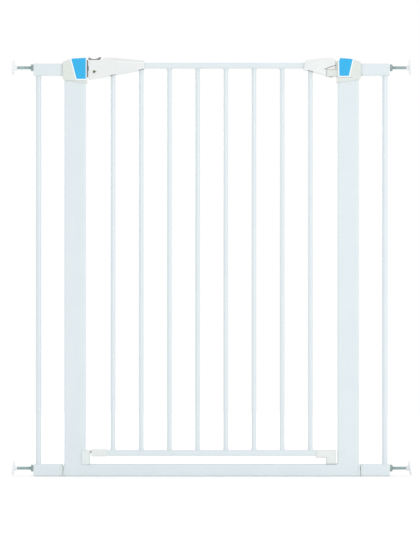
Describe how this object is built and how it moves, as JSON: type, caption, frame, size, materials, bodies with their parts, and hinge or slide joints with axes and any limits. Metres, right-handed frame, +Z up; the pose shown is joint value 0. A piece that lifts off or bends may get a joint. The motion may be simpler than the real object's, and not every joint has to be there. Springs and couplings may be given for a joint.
{
  "type": "safety gate",
  "caption": "Extra-tall pressure-fit safety gate with a lift-and-swing barred door, sliding lock and adjustable wall pads.",
  "frame": {"origin": "on the floor, midway between the outer faces of the wall pads and midway through the depth", "axes": "+X runs from the latch post to the hinge post, +Y runs away from the side with the arrow, +Z is up"},
  "size_m": [0.9452, 0.034, 0.988],
  "materials": {
    "tube_paint": "satin white powder coat",
    "plug_plastic": "satin",
    "cap_plastic": "fine moulded texture",
    "handle_plastic": "satin moulded",
    "blue_plastic": "semi-gloss",
    "dark_plastic": "satin",
    "bearing_plastic": "natural nylon",
    "arrow_green": "satin",
    "zinc_steel": "zinc plated",
    "pad_plastic": "soft moulded"
  },
  "bodies": {
    "frame": {"bottom_rail": "tube_paint", "left_post": "tube_paint", "right_post": "tube_paint", "rail_end_plugs": "plug_plastic", "latch_cap": "cap_plastic", "latch_inlay": "blue_plastic", "latch_buffer": "dark_plastic", "keeper": "bearing_plastic", "hinge_cap": "cap_plastic", "hinge_inlay": "blue_plastic", "cap_screws": "zinc_steel", "upper_hinge_bush": "bearing_plastic", "lower_hinge_bush": "bearing_plastic", "bottom_catch": "cap_plastic", "catch_screw": "zinc_steel", "left_extension_top": "tube_paint", "left_extension_bottom": "tube_paint", "left_extension_bar": "tube_paint", "right_extension_top": "tube_paint", "right_extension_bottom": "tube_paint", "right_extension_bar": "tube_paint", "extension_inner_plugs": "plug_plastic", "extension_outer_plugs": "plug_plastic", "extension_spigots": "zinc_steel"},
    "hinge_pins": {"upper_hinge_pin": "zinc_steel", "lower_hinge_pin": "zinc_steel"},
    "door": {"door_top_rail": "tube_paint", "door_bottom_rail": "tube_paint", "door_bar_1": "tube_paint", "door_bar_2": "tube_paint", "door_bar_3": "tube_paint", "door_bar_4": "tube_paint", "door_bar_5": "tube_paint", "door_bar_6": "tube_paint", "door_bar_7": "tube_paint", "door_bar_8": "tube_paint", "handle_front": "handle_plastic", "handle_back": "handle_plastic", "handle_screws": "zinc_steel", "handle_arrow": "arrow_green", "housing_front": "handle_plastic", "housing_back": "handle_plastic", "housing_screws": "zinc_steel", "latch_foot": "cap_plastic", "hinge_foot": "cap_plastic"},
    "lock": {"lock_button": "dark_plastic", "lock_bolt": "zinc_steel", "lock_spring": "zinc_steel"},
    "nut_upper_left": {"nut_upper_left": "zinc_steel"},
    "spindle_upper_left": {"rod_upper_left": "zinc_steel"},
    "pad_upper_left": {"pad_upper_left": "pad_plastic"},
    "nut_upper_right": {"nut_upper_right": "zinc_steel"},
    "spindle_upper_right": {"rod_upper_right": "zinc_steel"},
    "pad_upper_right": {"pad_upper_right": "pad_plastic"},
    "nut_lower_left": {"nut_lower_left": "zinc_steel"},
    "spindle_lower_left": {"rod_lower_left": "zinc_steel"},
    "pad_lower_left": {"pad_lower_left": "pad_plastic"},
    "nut_lower_right": {"nut_lower_right": "zinc_steel"},
    "spindle_lower_right": {"rod_lower_right": "zinc_steel"},
    "pad_lower_right": {"pad_lower_right": "pad_plastic"}
  },
  "joints": [
    {"name": "nut_upper_left_turn", "type": "hinge", "parent": "frame", "child": "nut_upper_left", "pos_m": [-0.42335, 0, 0.963], "axis": [1, 0, 0], "range_deg": [-8064, 4320]},
    {"name": "spindle_upper_left_slide", "type": "slide", "parent": "frame", "child": "spindle_upper_left", "axis": [-1, 0, 0], "range_m": [-0.028, 0.015]},
    {"name": "pad_upper_left_swivel", "type": "hinge", "parent": "spindle_upper_left", "child": "pad_upper_left", "pos_m": [-0.464, 0, 0.963], "axis": [0, -1, 0], "range_deg": [-6.5, 13.5]},
    {"name": "nut_upper_right_turn", "type": "hinge", "parent": "frame", "child": "nut_upper_right", "pos_m": [0.42335, 0, 0.963], "axis": [-1, 0, 0], "range_deg": [-8064, 4320]},
    {"name": "spindle_upper_right_slide", "type": "slide", "parent": "frame", "child": "spindle_upper_right", "axis": [1, 0, 0], "range_m": [-0.028, 0.015]},
    {"name": "pad_upper_right_swivel", "type": "hinge", "parent": "spindle_upper_right", "child": "pad_upper_right", "pos_m": [0.464, 0, 0.963], "axis": [0, 1, 0], "range_deg": [-6.5, 13.5]},
    {"name": "nut_lower_left_turn", "type": "hinge", "parent": "frame", "child": "nut_lower_left", "pos_m": [-0.42335, 0, 0.0185], "axis": [1, 0, 0], "range_deg": [-8064, 4320]},
    {"name": "spindle_lower_left_slide", "type": "slide", "parent": "frame", "child": "spindle_lower_left", "axis": [-1, 0, 0], "range_m": [-0.028, 0.015]},
    {"name": "pad_lower_left_swivel", "type": "hinge", "parent": "spindle_lower_left", "child": "pad_lower_left", "pos_m": [-0.464, 0, 0.0185], "axis": [0, -1, 0], "range_deg": [-2, 18]},
    {"name": "nut_lower_right_turn", "type": "hinge", "parent": "frame", "child": "nut_lower_right", "pos_m": [0.42335, 0, 0.0185], "axis": [-1, 0, 0], "range_deg": [-8064, 4320]},
    {"name": "spindle_lower_right_slide", "type": "slide", "parent": "frame", "child": "spindle_lower_right", "axis": [1, 0, 0], "range_m": [-0.028, 0.015]},
    {"name": "pad_lower_right_swivel", "type": "hinge", "parent": "spindle_lower_right", "child": "pad_lower_right", "pos_m": [0.464, 0, 0.0185], "axis": [0, 1, 0], "range_deg": [-2, 18]},
    {"name": "door_lift", "type": "slide", "parent": "frame", "child": "hinge_pins", "axis": [0, 0, 1], "range_m": [0, 0.012]},
    {"name": "door_swing", "type": "hinge", "parent": "hinge_pins", "child": "door", "pos_m": [0.2815, 0, 0], "axis": [0, 0, 1], "range_deg": [-90, 90]},
    {"name": "lock_slide", "type": "slide", "parent": "door", "child": "lock", "axis": [1, 0, 0], "range_m": [0, 0.01], "stiffness_N_per_m": 200, "springref_m": -0.01, "deforming": ["lock_spring"]}
  ],
  "couplings": [
    {"joint": "nut_upper_left_turn", "follows": "spindle_upper_left_slide", "rad_per_m": 5026.5},
    {"joint": "nut_upper_right_turn", "follows": "spindle_upper_right_slide", "rad_per_m": 5026.5},
    {"joint": "nut_lower_left_turn", "follows": "spindle_lower_left_slide", "rad_per_m": 5026.5},
    {"joint": "nut_lower_right_turn", "follows": "spindle_lower_right_slide", "rad_per_m": 5026.5}
  ]
}
